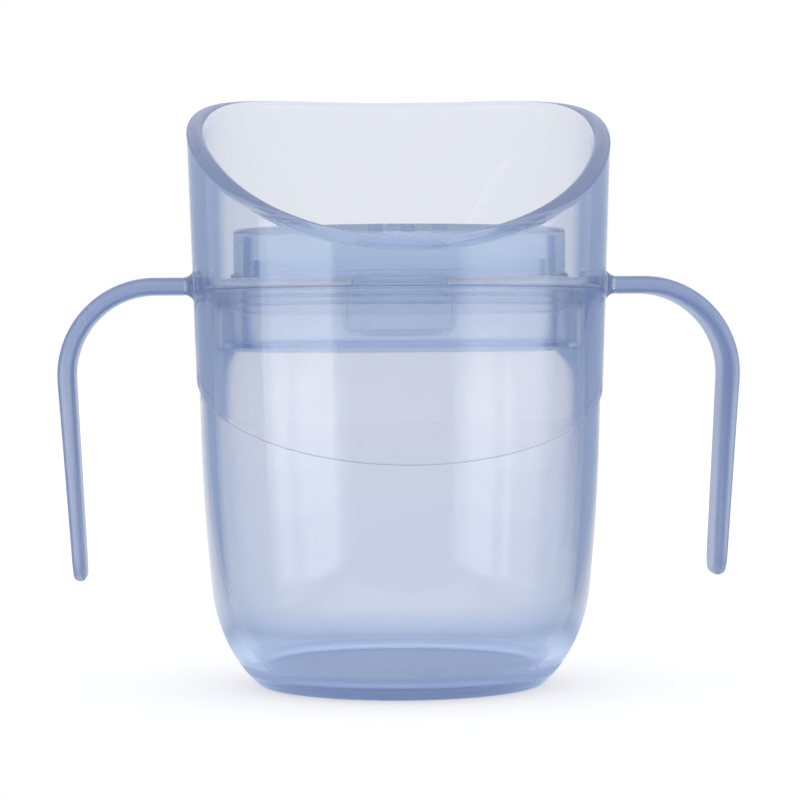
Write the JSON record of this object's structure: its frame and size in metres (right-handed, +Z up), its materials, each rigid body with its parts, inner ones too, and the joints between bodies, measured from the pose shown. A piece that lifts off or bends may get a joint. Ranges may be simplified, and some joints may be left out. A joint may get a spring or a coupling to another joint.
{
  "type": "training cup",
  "caption": "Child's training cup with a scooped drinking rim, a handle hanging at each side and a lift-out flow insert with cap, valve and seal.",
  "frame": {"origin": "centre of the flat base, on the surface the cup stands on and on the axis of the cup", "axes": "+Z up along the axis of the cup, -Y towards the low drinking edge of the rim, handles along -X and +X"},
  "size_m": [0.1118, 0.0693, 0.0985],
  "materials": {
    "shell_plastic": "clear blue-tinted, glossy",
    "insert_plastic": "clear blue-tinted, glossy",
    "soft_silicone": "clear blue-tinted, satin"
  },
  "bodies": {
    "cup": {"cup_body": "shell_plastic", "left_handle": "shell_plastic", "right_handle": "shell_plastic"},
    "insert": {"insert_base": "insert_plastic", "seal_ring": "soft_silicone", "flow_valve": "soft_silicone"},
    "cap": {"insert_cap": "insert_plastic"}
  },
  "joints": [
    {"name": "insert_lift", "type": "slide", "parent": "cup", "child": "insert", "axis": [0, 0, 1], "range_m": [0, 0.05]},
    {"name": "cap_lift", "type": "slide", "parent": "insert", "child": "cap", "axis": [0, 0, 1], "range_m": [0, 0.015]}
  ]
}
